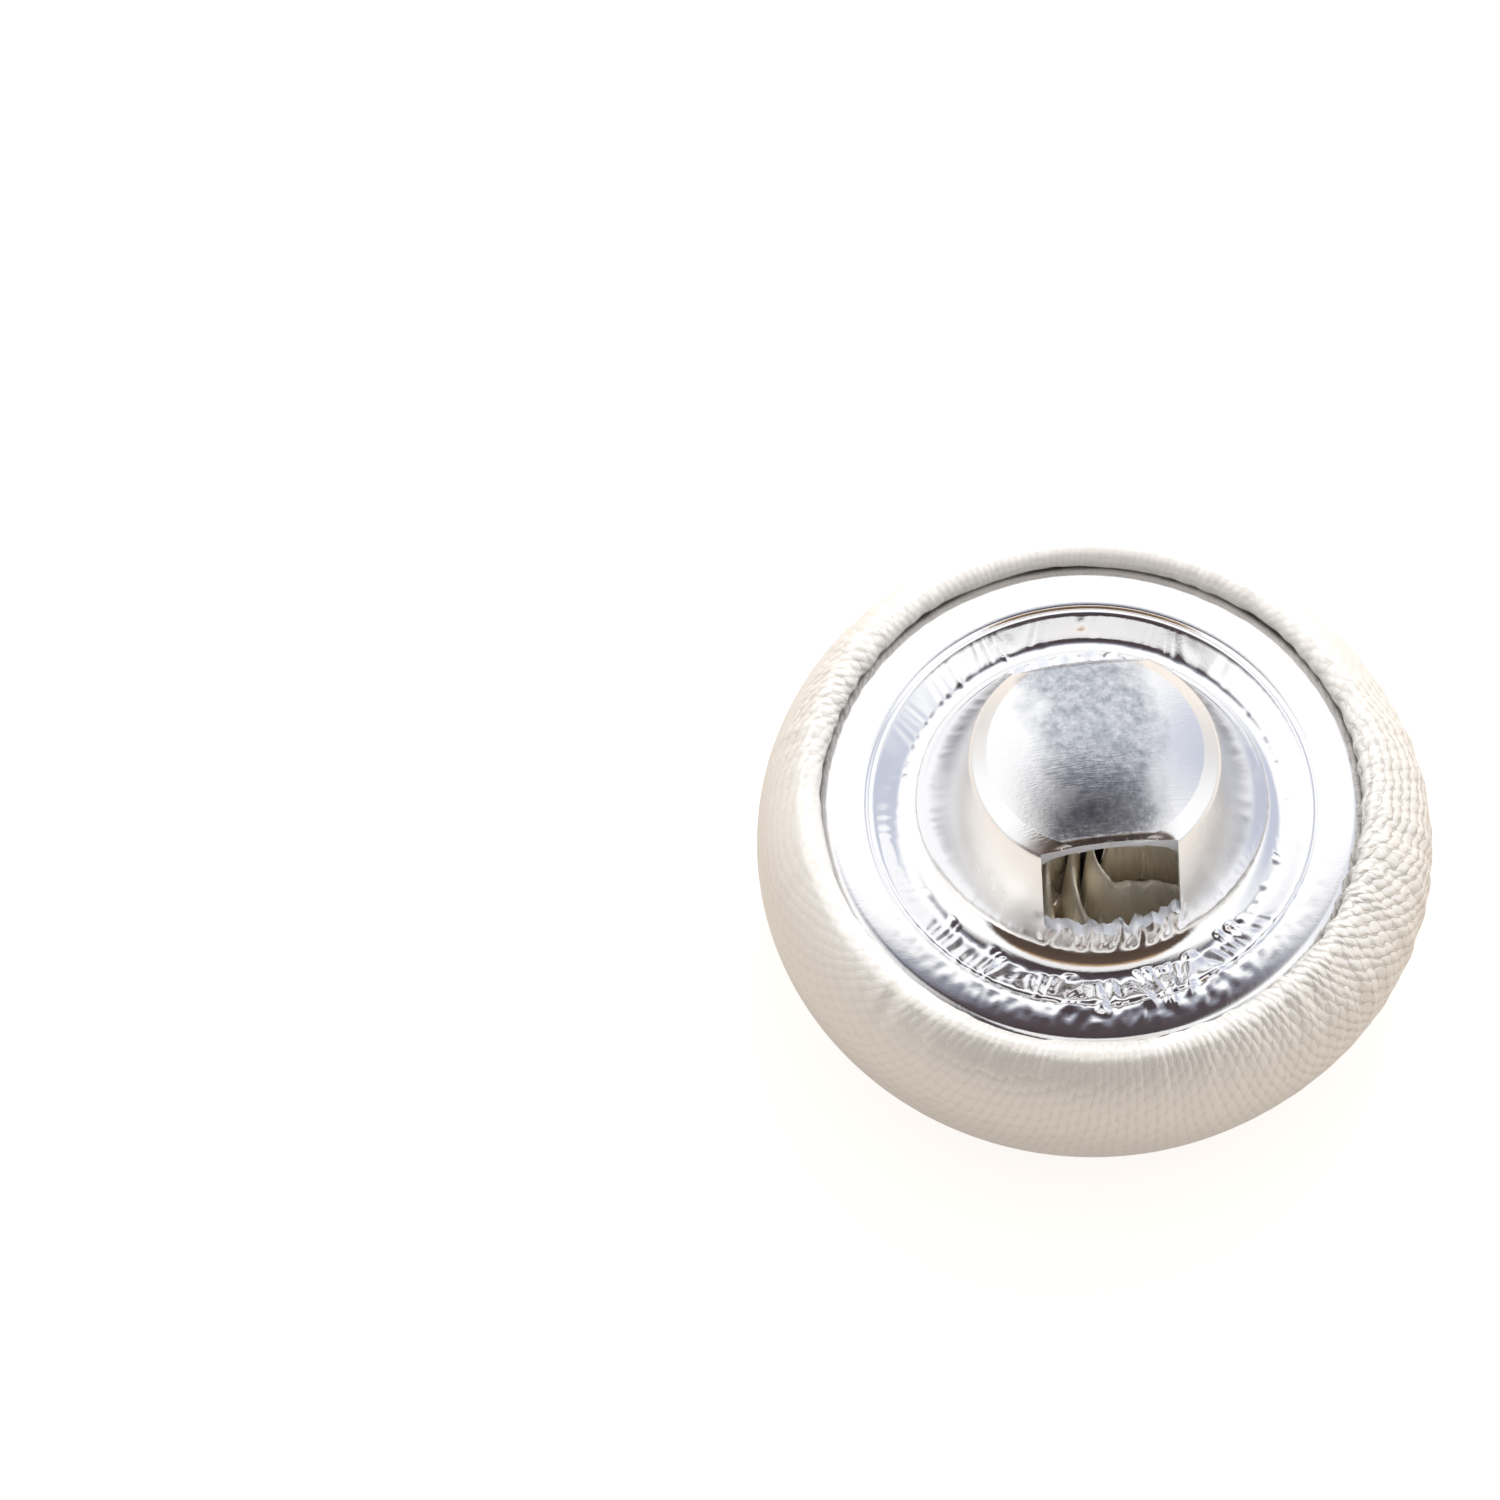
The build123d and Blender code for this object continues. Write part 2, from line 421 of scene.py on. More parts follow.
def make_satin_cover():
    """One disc of satin as a thin closed mesh, and the width that the flat disc had."""
    length, place, normal = rows_of(cover_outline(), cover_row_gap, cover_row_bend)
    angle = np.arange(cover_columns) / cover_columns * 2 * pi
    outer = folded_cloth(length, place, normal, angle)
    hem_row = len(length) - 1
    inner_rows = np.unique(np.append(np.arange(1, len(length), inner_row_step), hem_row))[::-1]
    inward = np.stack((
        normal[:, :1] * np.cos(angle),
        normal[:, :1] * np.sin(angle),
        normal[:, 1:] + 0 * angle,
    ), axis=-1)
    inner = (outer - inward * cloth)[inner_rows]
    rows = np.concatenate((outer[1:], inner))
    piece = turned_piece("satin_cover", rows, (0, 0, 0), (0, 0, cloth))

    along = np.concatenate((length[1:], length[inner_rows]))[:, None]
    flat = np.stack((along * np.cos(angle), along * np.sin(angle), 0 * along * angle), axis=-1)
    store_vectors(piece, "flat_cloth", flat)
    store_vectors(piece, "lie", how_it_lies(along, angle[None, :]))
    return piece, 2 * length[-1]


# The pressed back
near_trough_fillet = 0.75   # softer than the CAD model's, as the trough's reflections show
back_columns = 620
back_row_gap = 0.095        # at most, along the outline
back_row_bend = 8.5         # at most, in degrees from one row to the next
crown_edge_zone = (2.1, 2.75)       # radii between which the rows are finer
crown_edge_row_gap = 0.04
under_row_gap = 0.18        # at least, between rows of the lower face
sharp_angle = 35            # faces that meet at more degrees than this show an edge
relief_seed = 3
plate_wobble = 0.006        # height of the plate's slow unevenness
wobble_counts = (2, 3, 5, 7, 11)
wobble_slant = 0.8
wobble_zone = (2.2, 4.0)    # radii between which it sets in
ring_fall = 0.13            # how far the near ring falls away towards its shoulder
ring_fall_start = 5.05
ring_fall_width = 0.85

# Crimps of the band; a pair is the least and the most of an uneven value
crimp_seed = 5
crimp_count = 104
crimp_relief = 0.11
crimp_widths = (0.4, 1.6)
crimp_heights = (0.3, 1.0)
crimp_inner_ends = (0.02, 0.50)     # outside the trough's bottom
crimp_outer_ends = (-0.1, 0.45)     # outside the crease, on the near side
crimp_zone_start = (3.2, 3.6)       # radii between which the crimps set in
crimp_rise = 0.16
crimp_run_out = 0.35
crimp_end_gap = 0.02        # from the crease to the ends of the far crimps
crimp_lean = 0.09           # radians a mm
crimp_lean_counts = (3, 7, 13, 21)
crimp_roundness = 1.15
crimp_depth = 0.10          # share of the relief all round, and what the two sides add
near_crimp_depth = 1.10
far_crimp_depth = 0.15
far_crimp_power = 5         # so high that only the highest of the far crimps stand out

# Crumples of torn and crushed metal: height, least and most pitch, and headings in radians
foot_crumple = (0.035, (0.2, 0.6), (-0.6, 0.6))
band_crumple = (0.008, (0.15, 0.5), (0, pi))
sill_crumple = (0.05, (0.12, 0.5), (-0.5, 0.5))
crushed_radii = (4.2, 4.5, 5.3, 5.7)        # rise, full, fading and gone
sill_grid = (34, 20)        # points of a sill across its window, and outward
sill_seed = 20
crumple_waves = 14

# Where the shank's foot is torn under a window: offsets past the window's side and the
# trough's radius, over which it fades, and over the plate and the sill, in and out
torn_side = (-0.2, 0.35)
torn_foot = (-0.25, 0)
torn_over_plate = (0.1, 0.4)
torn_over_sill = (0.1, 0.3)

# Where the bridge's edge is rolled: offsets past the window's side and under the crown's top
roll_side = (-0.5, 0)
roll_level = (-0.95, -0.75)
roll_share = 0.9            # of its radius, so that the roll's outer end isn't upright

# Sides of the back: middle and spread in degrees round the axis
crimped_near_side = (-90, 75)
crimped_far_side = (90, 60)
fallen_side = (-90, 100)
rounded_trough_side = (-90, 150)
rounded_enough = 0.7        # share of that side at which the trough is as round as it gets
crushed_side = (-90, 80)


def crown_level(radius):
    """Height of the crown's upper face: its dome, and outside that the bevel round it."""
    domed = min(radius, crown_edge_radius)
    fall = (radius - domed) / bevel_width * bevel_drop
    return crown_centre[1] + sqrt(crown_radius ** 2 - domed ** 2) - fall


def trough_corners():
    """The band's outer edge, the trough's corner and the top of the shank's side."""
    return [
        (crease_radius, plate_level),
        (trough_radius, plate_level - trough_depth),
        (shank_top_radius, crown_level(shank_top_radius)),
    ]


def trough_fill(place):
    """How far the near side's rounder trough stands over each row of the outline."""
    outer, corner, inner = np.array(trough_corners())
    up_band = (outer - corner) / np.linalg.norm(outer - corner)
    up_flank = (inner - corner) / np.linalg.norm(inner - corner)
    half = np.arccos(up_band @ up_flank) / 2
    middle = (up_band + up_flank) / np.linalg.norm(up_band + up_flank)
    centre = corner + middle * near_trough_fillet / sin(half)
    over = np.linalg.norm(place - centre, axis=1) - near_trough_fillet
    in_reach = np.linalg.norm(place - corner, axis=1) < near_trough_fillet / tan(half)
    return np.where(in_reach, np.maximum(over, 0), 0)


def plate_outline():
    """The back plate's upper face, from the skirt's lower edge in to the axis."""
    shoulder_angle = degrees(atan2(shoulder_level - side_level, shoulder_run))
    crown_edge_level = crown_level(crown_edge_radius)
    crown_edge_angle = degrees(atan2(crown_edge_level - crown_centre[1], crown_edge_radius))
    corners = [
        (shoulder_centre[0], plate_level),
        *trough_corners(),
        (crown_edge_radius, crown_edge_level),
    ]
    return np.vstack([
        arc(side_centre, skirt_radius, skirt_end_angle, shoulder_angle),
        arc(shoulder_centre, shoulder_radius, shoulder_angle, 90),
        rounded(corners, [band_fillet, trough_fillet, crown_fillet]),
        arc(crown_centre, crown_radius, crown_edge_angle, 90),
    ])


def crimp_edges(random):
    """Places round the axis, in radians, of the uneven crimps' valleys."""
    widths = random.uniform(*crimp_widths, crimp_count)
    return np.concatenate(([0], np.cumsum(widths))) / widths.sum() * 2 * pi


def crimp_height(radius, turn):
    """Height of the sharp radial crimps of the band, over its smooth face."""
    random = np.random.default_rng(crimp_seed)
    edges = crimp_edges(random)
    lean = crimp_lean * waves(random, turn, crimp_lean_counts, 0)
    turned = (turn + lean * (radius - trough_radius)) % (2 * pi)
    number = np.clip(np.searchsorted(edges, turned, side="right") - 1, 0, crimp_count - 1)
    share = (turned - edges[number]) / (edges[number + 1] - edges[number])
    near = side_share(turn, crimped_near_side)
    far = side_share(turn, crimped_far_side)
    height = random.uniform(*crimp_heights, crimp_count)[number]
    past_crease = random.uniform(*crimp_outer_ends, crimp_count)[number]
    outer = crease_radius - crimp_end_gap + near * past_crease
    inner = trough_radius + random.uniform(*crimp_inner_ends, crimp_count)[number]
    ridge = 1 - np.abs(2 * share - 1) ** crimp_roundness
    deep = crimp_depth + near_crimp_depth * near + far_crimp_depth * far * height ** far_crimp_power
    spread = hump(radius, inner, inner + crimp_rise, outer - crimp_run_out, outer)
    return crimp_relief * deep * height * spread * ridge


def crease_drop(radius):
    """Depth of the sharp ring where the plate's flat part ends."""
    return crease_depth * np.clip(1 - np.abs(radius - crease_radius) / crease_width, 0, 1)


def crumples(x, y, random, crumple):
    """Folded ripples of torn or crushed metal: sharp creases, as high as the crumple says."""
    height, pitches, headings = crumple
    total = np.zeros_like(x)
    for _ in range(crumple_waves):
        pitch = random.uniform(*pitches)
        heading = random.uniform(*headings)
        wave = (x * cos(heading) + y * sin(heading)) / pitch
        total += np.abs(np.sin(pi * wave + random.uniform(0, pi))) * pitch
    return height * ((total - total.mean()) / total.std())


def under_windows(x, y, height):
    """1 on the torn foot of the shank under each window's sill, falling to 0 round it."""
    sill = plate_level + window_sill_height
    across = 1 - smooth_step(np.abs(x), *past(window_half_width, torn_side))
    out = 1 - smooth_step(np.hypot(x, y), *past(trough_radius, torn_foot))
    low = smooth_step(height, *past(plate_level, torn_over_plate))
    return across * out * low * (1 - smooth_step(height, *past(sill, torn_over_sill)))


def face_relief(place, radius, turn, level):
    """How far the pressed sheet stands over its smooth outline, along its normal."""
    random = np.random.default_rng(relief_seed)
    relief = crimp_height(radius, turn) * smooth_step(radius, *crimp_zone_start) - crease_drop(radius)
    fall = np.clip((radius - ring_fall_start) / ring_fall_width, 0, 1) ** 2
    relief -= ring_fall * (fall * side_share(turn, fallen_side))
    rounder = smooth_step(side_share(turn, rounded_trough_side), 0, rounded_enough)
    relief += trough_fill(place)[:, None] * rounder
    x, y = radius * np.cos(turn), radius * np.sin(turn)
    relief += under_windows(x, y, level) * crumples(x, level, random, foot_crumple)
    crushed = hump(radius, *crushed_radii) * side_share(turn, crushed_side)
    relief += crushed * crumples(x, y, random, band_crumple)
    wobble = plate_wobble * waves(random, turn, wobble_counts, wobble_slant * radius)
    return relief + wobble * smooth_step(radius, *wobble_zone)


def bridge_roll(x, y, height):
    """How far the bridge's edges over the two windows are rolled down."""
    roll_start = bridge_half_width - bridge_edge_radius
    over = np.clip(np.abs(y) - roll_start, 0, roll_share * bridge_edge_radius)
    rolled = bridge_edge_radius - np.sqrt(bridge_edge_radius ** 2 - over ** 2)
    middle = 1 - smooth_step(np.abs(x), *past(window_half_width, roll_side))
    return rolled * middle * smooth_step(height, *past(crown_top, roll_level))


def pressed_face(place, normal, angle, depth):
    """Points of the pressed sheet at a depth under its upper face."""
    radius = place[:, 0][:, None] + 0 * angle[None, :]
    turn = angle[None, :] + 0 * radius
    level = place[:, 1][:, None] + 0 * radius
    lift = face_relief(place, radius, turn, level) - depth
    across = radius + normal[:, 0][:, None] * lift
    height = level + normal[:, 1][:, None] * lift
    x, y = across * np.cos(turn), across * np.sin(turn)
    return np.stack((x, y, height - bridge_roll(x, y, height)), axis=-1)


def rows_under(place, normal):
    """Numbers of the rows that the sheet's lower face takes, none of which folds it back."""
    low = place - normal * plate_sheet
    kept = [0]
    for row in range(1, len(place) - 1):
        ahead = (-normal[row, 1], normal[row, 0])
        if (low[row] - low[kept[-1]]) @ ahead > under_row_gap:
            kept.append(row)
    return np.array(kept)


def cutter_faces(across, outward):
    """Faces of a cutting block: its floor of across by outward points, four walls and a top."""
    faces = []
    for row in range(outward - 1):
        for column in range(across - 1):
            start = row * across + column
            faces.append((start, start + across, start + across + 1, start + 1))
    edges = [
        range(across),
        [row * across + across - 1 for row in range(outward)],
        [across * outward - 1 - column for column in range(across)],
        [across * (outward - 1 - row) for row in range(outward)],
    ]
    first_top = across * outward
    for number, edge in enumerate(edges):
        after = (number + 1) % 4
        faces.append((*edge, first_top + after, first_top + number))
    faces.append(tuple(range(first_top, first_top + 4)))
    return faces


def window_cutter(name, side):
    """A block that pierces one thread window; its crumpled floor leaves the torn sill."""
    random = np.random.default_rng(sill_seed + side)
    across, outward = sill_grid
    x = np.linspace(-window_half_width, window_half_width, across)
    y = side * np.linspace(bridge_half_width, trough_radius, outward)
    grid_x, grid_y = np.meshgrid(x, y)
    level = plate_level + window_sill_height + crumples(grid_x, grid_y, random, sill_crumple)
    low = np.column_stack((grid_x.ravel(), grid_y.ravel(), level.ravel()))
    corners = [0, across - 1, across * outward - 1, across * (outward - 1)]
    top = low[corners] * (1, 1, 0) + (0, 0, crown_top + 1)
    faces = cutter_faces(across, outward)
    if side < 0:
        faces = [face[::-1] for face in faces]
    return object_from(name, np.vstack((low, top)), faces, smooth=False)


def cut_windows(piece, sheared):
    """Pierces both windows in the shank's sides; the cut faces get the sheared material."""
    for name, side in (("near", -1), ("far", 1)):
        cutter = window_cutter(name, side)
        wear(cutter, sheared)
        cut = piece.modifiers.new(name, "BOOLEAN")
        cut.operation = "DIFFERENCE"
        cut.solver = "EXACT"
        cut.material_mode = "TRANSFER"
        cut.object = cutter
        bpy.context.view_layer.objects.active = piece
        bpy.ops.object.modifier_apply(modifier=name)
        bpy.data.objects.remove(cutter)


def make_pressed_back():
    """The back plate and shank: one aluminium pressing as a closed mesh, with its materials."""
    _, place, normal = rows_of(
        plate_outline(), back_row_gap, back_row_bend, crown_edge_zone, crown_edge_row_gap)
    angle = np.arange(back_columns) / back_columns * 2 * pi
    top = pressed_face(place, normal, angle, 0.0)
    low_rows = rows_under(place, normal)
    under = pressed_face(place[low_rows], normal[low_rows], angle, plate_sheet)[::-1]
    rows = np.concatenate((under, top[:-1]))
    piece = turned_piece(
        "pressed_back", rows, (0, 0, crown_top - plate_sheet), (0, 0, crown_top))
    wear(piece, pressed_material())
    cut_windows(piece, sheared_material())
    piece.data.set_sharp_from_angle(angle=radians(sharp_angle))
    return piece


# Materials
satin_colour = (0.88, 0.855, 0.81, 1)
# painted shade: the brown of the gaps between the satin's ribs and in the dips of its floats
gap_shade_colour = (0.50, 0.42, 0.33, 1)
# painted warm shade: the tan tint of the same satin where it is tucked inside the shank
tucked_shade_tint = (0.97, 0.90, 0.76, 1)
aluminium_colour = (0.94, 0.94, 0.95, 1)
# painted reflection: the dark and light greys of the mottled strip across the crown
painted_reflection_dark = (0.36, 0.38, 0.43, 1)
painted_reflection_light = (0.72, 0.74, 0.79, 1)
sheared_colour = (0.93, 0.95, 0.99, 1)
cap_colour = (0.82, 0.82, 0.84, 1)
paper_colour = (0.45, 0.38, 0.31, 1)
white = (1, 1, 1, 1)

# The weave, in millimetres of the flat cloth
rib_pitch = 0.30            # warp ribs
rib_drift = 0.5
rib_roundness = 0.7
float_length = 0.45         # five picks from one dip of a warp thread to the next
float_shift = 0.4 * float_length    # from one rib's dips to the next rib's
float_slant = 0.3
float_roundness = 0.6
float_unevenness = 0.9

slow_scale = 0.45           # of the noise that makes the ribs drift
unsteady_scale = 2.2        # and of the one that makes them waver
gap_shade_heights = (0.1, 0.6)    # between which the painted shade of a gap gives way to the thread's colour
fibre_stretch = (14.0, 1.2, 1.0)
fibre_scale = 2.0
rib_bump = 0.05
fibre_bump = 0.004
satin_roughness = (0.30, 0.42)
noise_range = (0.3, 0.7)    # part of a noise that is spread over a range of roughness

# Pairs for tight and loose cloth, and for cloth along its threads and on the bias
rib_waver = (0.07, 0.3)
dip_kept = (1.0, 0.4)
gap_shade_shown = (0.12, 0.40)
rib_strength = (0.15, 0.8)
dip_on_bias = (0.45, 0.85)
fully_loose = 0.8           # looseness at which the gaps' painted shade and the ribs show as much as they can

# Polish and grain of the metal, and the painted dark reflection across its crown
crown_face_levels = (crown_top - 0.62, crown_top - 0.45)
painted_reflection_half_width = (1.5, 0.8)       # where the painted reflection begins, and where it is full
drawn_levels = (plate_level + 0.1, plate_level + 0.5)
polish_roughness = (0.06, 0.13)
drawn_roughness = 0.15      # what the drawn side and crown of the shank add
scratch_heading = 35        # degrees
scratch_stretch = (2.2, 16.0, 2.2)
scratch_scale = 1.6
scratch_strength = (0.06, 0.7)      # off the crown, and on it
mottle_scale = 5.0
mottle_strength = (0.35, 0.8)       # off the crown, and on it
painted_reflection_mottle = (0.35, 0.68)
broad_scale = 1.1
painted_reflection_raggedness = 1.6
metal_bump = 0.006
sheared_grain_scale = 9000.0        # of a noise in metres
cap_grain_scale = 2500.0
cap_roughness = (0.3, 0.45)


class Nodes:
    """The node tree of a material or the world, with short ways to add a node and join it up."""

    def __init__(self, owner):
        self.tree = owner.node_tree
        self.shader = self.tree.nodes.get("Principled BSDF")

    def add(self, kind, inputs=(), **settings):
        """A node of a kind; its inputs are values or other nodes' outputs, by name or number."""
        node = self.tree.nodes.new(kind)
        for key, value in settings.items():
            setattr(node, key, value)
        for key, value in dict(inputs).items():
            self.join(value, node.inputs[key])
        return node

    def join(self, value, socket):
        """Sets a socket to a value, or links it to an output."""
        if isinstance(value, bpy.types.NodeSocket):
            self.tree.links.new(value, socket)
        else:
            socket.default_value = value

    def math(self, operation, *values):
        """The output of a math node."""
        node = self.tree.nodes.new("ShaderNodeMath")
        node.operation = operation
        for number, value in enumerate(values):
            self.join(value, node.inputs[number])
        return node.outputs[0]

    def plus(self, first, second):
        """The output of a sum."""
        return self.math("ADD", first, second)

    def minus(self, first, second):
        """The output of a difference."""
        return self.math("SUBTRACT", first, second)

    def times(self, first, second):
        """The output of a product."""
        return self.math("MULTIPLY", first, second)

    def scaled_vector(self, vector, factors):
        """A vector with each of its three parts multiplied by a factor."""
        node = self.add("ShaderNodeVectorMath", {0: vector, 1: factors}, operation="MULTIPLY")
        return node.outputs[0]

    def parts(self, vector):
        """The three parts of a vector."""
        return self.add("ShaderNodeSeparateXYZ", {0: vector}).outputs

    def mix(self, share, low, high):
        """One colour blended into another."""
        node = self.tree.nodes.new("ShaderNodeMix")
        node.data_type = "RGBA"
        self.join(share, node.inputs[0])
        self.join(low, node.inputs[6])
        self.join(high, node.inputs[7])
        return node.outputs[2]

    def scaled(self, value, low, high, new_low=0.0, new_high=1.0):
        """A value taken from one range to another, held within it."""
        node = self.add("ShaderNodeMapRange", {0: value, 1: low, 2: high, 3: new_low, 4: new_high})
        return node.outputs[0]

    def noise(self, coordinates, scale, detail=2.0, rough=0.5):
        """The output of a noise texture."""
        node = self.add("ShaderNodeTexNoise", {
            "Vector": coordinates,
            "Scale": scale,
            "Detail": detail,
            "Roughness": rough,
        })
        return node.outputs[0]

    def bump(self, height, distance, strength, under=None):
        """The normal of a bumpy surface; distance in millimetres."""
        inputs = {"Height": height, "Distance": distance * MM, "Strength": strength}
        if under is not None:
            inputs["Normal"] = under
        return self.add("ShaderNodeBump", inputs).outputs[0]

    def shade(self, **inputs):
        """Sets inputs of the surface's shader; an underscore stands for a space in a name."""
        for name, value in inputs.items():
            self.join(value, self.shader.inputs[name.replace("_", " ")])


def new_material(name):
    """A new material with nodes."""
    material = bpy.data.materials.new(name)
    material.use_nodes = True
    return material


def satin_height(nodes, flat, loose, bias):
    """Height of the weave: half-round warp ribs, whose floats dip every five picks."""
    place = nodes.parts(flat)
    slow = nodes.minus(nodes.noise(flat, slow_scale), 0.5)
    unsteady = nodes.minus(nodes.noise(flat, unsteady_scale), 0.5)
    waver = nodes.times(unsteady, nodes.scaled(loose, 0.0, 1.0, *rib_waver))
    drift = nodes.plus(nodes.times(slow, rib_drift), waver)
    across = nodes.math("DIVIDE", nodes.plus(place[0], drift), rib_pitch)
    shift = nodes.times(nodes.math("FLOOR", across), float_shift)
    along = nodes.math("DIVIDE", nodes.plus(place[1], shift), float_length)
    picks = nodes.math("FRACT", nodes.plus(along, nodes.times(unsteady, float_unevenness)))
    slant = nodes.times(nodes.minus(picks, 0.5), float_slant)
    rib = nodes.math("FRACT", nodes.plus(across, slant))
    rib_round = nodes.math("SINE", nodes.times(rib, pi))
    float_round = nodes.math("POWER", nodes.math("SINE", nodes.times(picks, pi)), float_roundness)
    dip = nodes.times(nodes.minus(1.0, float_round), nodes.scaled(bias, 0.0, 1.0, *dip_on_bias))
    dip = nodes.times(dip, nodes.scaled(loose, 0.0, 1.0, *dip_kept))
    return nodes.times(nodes.math("POWER", rib_round, rib_roundness), nodes.minus(1.0, dip))


def satin_material():
    """Ivory satin: its ribs and floats, painted shade in the gaps between them and its fine fibres.
    """
    material = new_material("ivory_satin")
    nodes = Nodes(material)
    flat = nodes.add("ShaderNodeAttribute", attribute_name="flat_cloth").outputs["Vector"]
    lie = nodes.add("ShaderNodeAttribute", attribute_name="lie").outputs["Vector"]
    loose, bias, tucked = nodes.parts(lie)
    height = satin_height(nodes, flat, loose, bias)
    fibres = nodes.noise(nodes.scaled_vector(flat, fibre_stretch), fibre_scale, 3.0)
    # painted shade in the gaps and dips of the weave, stronger where the cloth lies loosely
    gap_shade_strength = nodes.scaled(loose, 0.0, fully_loose, *gap_shade_shown)
    gap_shade = nodes.times(nodes.scaled(height, *gap_shade_heights, 1.0, 0.0), gap_shade_strength)
    # painted warm shade tint on the cloth tucked inside the shank
    thread_and_tucked_shade_colour = nodes.mix(tucked, satin_colour, tucked_shade_tint)
    ribs = nodes.bump(height, rib_bump, nodes.scaled(loose, 0.0, fully_loose, *rib_strength))
    nodes.shade(
        Base_Color=nodes.mix(gap_shade, thread_and_tucked_shade_colour, gap_shade_colour),
        Roughness=nodes.scaled(fibres, *noise_range, *satin_roughness),
        Metallic=0.3,
        Specular_IOR_Level=0.6,
        Normal=nodes.bump(fibres, fibre_bump, 0.4, ribs),
    )
    return material


def scratched_normal(nodes, in_mm, mottle, crown):
    """The normal of metal with fine scratches and a mottle, both stronger on the crown."""
    turned = nodes.add("ShaderNodeMapping", {
        "Vector": in_mm,
        "Rotation": (0, 0, radians(scratch_heading)),
        "Scale": scratch_stretch,
    }).outputs[0]
    scratches = nodes.noise(turned, scratch_scale, 3.0)
    scratched = nodes.scaled(crown, 0.0, 1.0, *scratch_strength)
    mottled = nodes.scaled(crown, 0.0, 1.0, *mottle_strength)
    lines = nodes.bump(scratches, metal_bump, scratched)
    return nodes.bump(mottle, metal_bump, mottled, lines)


def pressed_material():
    """Polished aluminium with drawing marks, fine scratches and a painted dark reflection across the
    crown.
    """
    material = new_material("pressed_aluminium")
    nodes = Nodes(material)
    place = nodes.add("ShaderNodeTexCoord").outputs["Object"]
    in_mm = nodes.scaled_vector(place, (1 / MM, 1 / MM, 1 / MM))
    x, _, level = nodes.parts(in_mm)
    mottle = nodes.noise(in_mm, mottle_scale, 5.0, 0.7)
    broad = nodes.noise(in_mm, broad_scale)
    ragged = nodes.times(nodes.minus(broad, 0.5), painted_reflection_raggedness)
    side = nodes.plus(nodes.math("ABSOLUTE", x), ragged)
    crown = nodes.scaled(level, *crown_face_levels)
    # painted reflection: a dark, mottled strip across the middle of the crown, in the base colour
    painted_reflection_share = nodes.times(crown, nodes.scaled(side, *painted_reflection_half_width))
    painted_reflection_colour = nodes.mix(nodes.scaled(mottle, *painted_reflection_mottle), painted_reflection_dark, painted_reflection_light)
    drawn = nodes.times(nodes.scaled(level, *drawn_levels), drawn_roughness)
    nodes.shade(
        Base_Color=nodes.mix(painted_reflection_share, aluminium_colour, painted_reflection_colour),
        Metallic=1.0,
        Roughness=nodes.plus(nodes.scaled(broad, *noise_range, *polish_roughness), drawn),
        Normal=scratched_normal(nodes, in_mm, mottle, crown),
    )
    return material


def sheared_material():
    """The torn, frosted metal of the windows' cut faces."""
    material = new_material("sheared_aluminium")
    nodes = Nodes(material)
    place = nodes.add("ShaderNodeTexCoord").outputs["Object"]
    grain = nodes.noise(place, sheared_grain_scale, 3.0)
    nodes.shade(
        Base_Color=sheared_colour,
        Metallic=0.8,
        Roughness=0.42,
        Normal=nodes.bump(grain, 0.01, 0.6),
    )
    return material


def cap_material():
    """Plain drawn aluminium of the hidden cap."""
    material = new_material("cap_aluminium")
    nodes = Nodes(material)
    place = nodes.add("ShaderNodeTexCoord").outputs["Object"]
    grain = nodes.noise(place, cap_grain_scale, 3.0)
    nodes.shade(
        Base_Color=cap_colour,
        Metallic=1.0,
        Roughness=nodes.scaled(grain, *noise_range, *cap_roughness),
        Normal=nodes.bump(grain, 0.004, 0.5),
    )
    return material


def wear(piece, material):
    """Gives a piece one material."""
    piece.data.materials.clear()
    piece.data.materials.append(material)


# Camera: the photograph's view, with this button where the photograph has it
photo_size = 1500
pixels_per_mm = 44.7        # at the plate's level
plate_centre_px = (1092, 804)
camera_azimuth = -7.0
camera_elevation = 62.0
camera_distance = 220.0
sensor_width = 36.0


def make_camera():
    """A long lens aimed so that the plate's centre falls on its pixel of the photograph."""
    around, above = radians(camera_azimuth), radians(camera_elevation)
    back = Vector((sin(around) * cos(above), -cos(around) * cos(above), sin(above)))
    right = Vector((cos(around), sin(around), 0))
    up = back.cross(right)
    off_right = (plate_centre_px[0] - photo_size / 2) / pixels_per_mm
    off_down = (plate_centre_px[1] - photo_size / 2) / pixels_per_mm
    place = Vector((0, 0, plate_level)) + back * camera_distance - right * off_right + up * off_down
    data = bpy.data.cameras.new("camera")
    data.sensor_width = sensor_width
    data.lens = sensor_width * pixels_per_mm * camera_distance / photo_size
    data.clip_start = 0.001
    data.clip_end = 10
    camera = bpy.data.objects.new("camera", data)
    turn = Matrix((right, up, back)).transposed().to_4x4()
    camera.matrix_world = Matrix.Translation(place * MM) @ turn
    bpy.context.scene.collection.objects.link(camera)
    bpy.context.scene.camera = camera


# Stage and light
floor_half_width = 400.0
paper_glow = 0.8            # to the camera, and what the metal reflects of it
paper_glow_in_metal = 0.4

# Lamps: sizes and places in millimetres, power in watts
top_lamp_size = 70
top_lamp_power = 0.50
top_lamp_place = (45, 120, 220)
top_lamp_target = (0, 0, 4)
beam_angle = 1.4            # degrees
beam_blend = 0.4
beam_lamp_size = 4
beam_power = 7.0
beam_place = (60, 200, 95)
beam_target = (0, crown_edge_radius, plate_level + 1.4)

